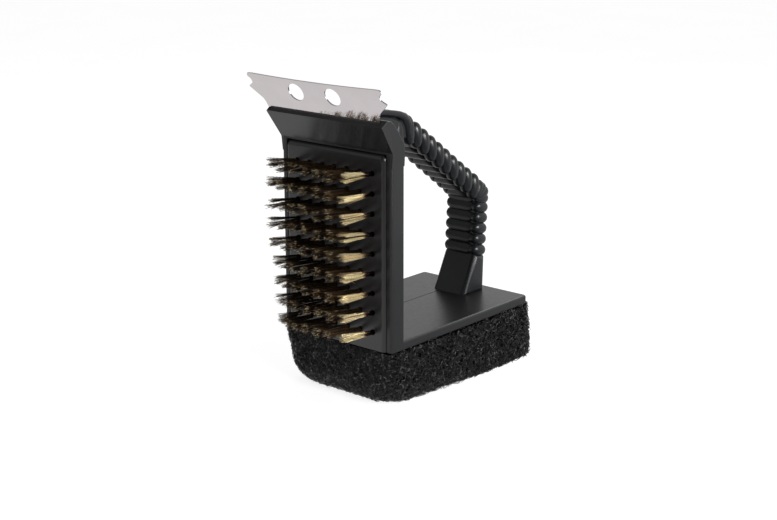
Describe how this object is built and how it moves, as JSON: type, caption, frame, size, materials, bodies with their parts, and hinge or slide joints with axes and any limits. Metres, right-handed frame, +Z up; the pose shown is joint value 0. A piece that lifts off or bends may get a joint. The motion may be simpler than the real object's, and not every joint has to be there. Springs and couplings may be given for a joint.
{
  "type": "grill cleaning brush",
  "caption": "Hand-held grill cleaning brush: upright block of wire tufts, steel scraper blade in a flared lip, thick scouring pad under the base and a ribbed loop handle.",
  "frame": {"origin": "middle of the scouring pad's flat resting face, below the middle of the base", "axes": "+Z up; X across the brush; -Y the way the wire tufts point; +Y towards the back of the base and the foot of the handle"},
  "size_m": [0.1014, 0.1597, 0.1841],
  "materials": {
    "body_plastic": "satin moulded plastic with a fine grain",
    "grip_plastic": "satin moulded plastic, polished on the ribs",
    "block_plastic": "satin moulded plastic with a fine grain",
    "blade_steel": "bright rolled stainless sheet",
    "screw_steel": "zinc-plated steel",
    "anchor_steel": "plain flat wire",
    "tuft_wire": "crimped brass-plated steel wire",
    "pad_fibre": "open non-woven abrasive fibre",
    "glue": "cured contact adhesive"
  },
  "bodies": {
    "root": {"frame": "body_plastic", "handle": "grip_plastic", "handle_screws_top": "screw_steel", "handle_screws_base": "screw_steel", "brush_block": "block_plastic", "scraper_blade": "blade_steel", "scouring_pad": "pad_fibre", "pad_adhesive": "glue", "tuft_row_1": "tuft_wire", "tuft_row_2": "tuft_wire", "tuft_row_3": "tuft_wire", "tuft_row_4": "tuft_wire", "tuft_row_5": "tuft_wire", "tuft_row_6": "tuft_wire", "tuft_row_7": "tuft_wire", "tuft_row_8": "tuft_wire", "tuft_row_9": "tuft_wire", "anchor_row_1": "anchor_steel", "anchor_row_2": "anchor_steel", "anchor_row_3": "anchor_steel", "anchor_row_4": "anchor_steel", "anchor_row_5": "anchor_steel", "anchor_row_6": "anchor_steel", "anchor_row_7": "anchor_steel", "anchor_row_8": "anchor_steel", "anchor_row_9": "anchor_steel"}
  },
  "joints": []
}
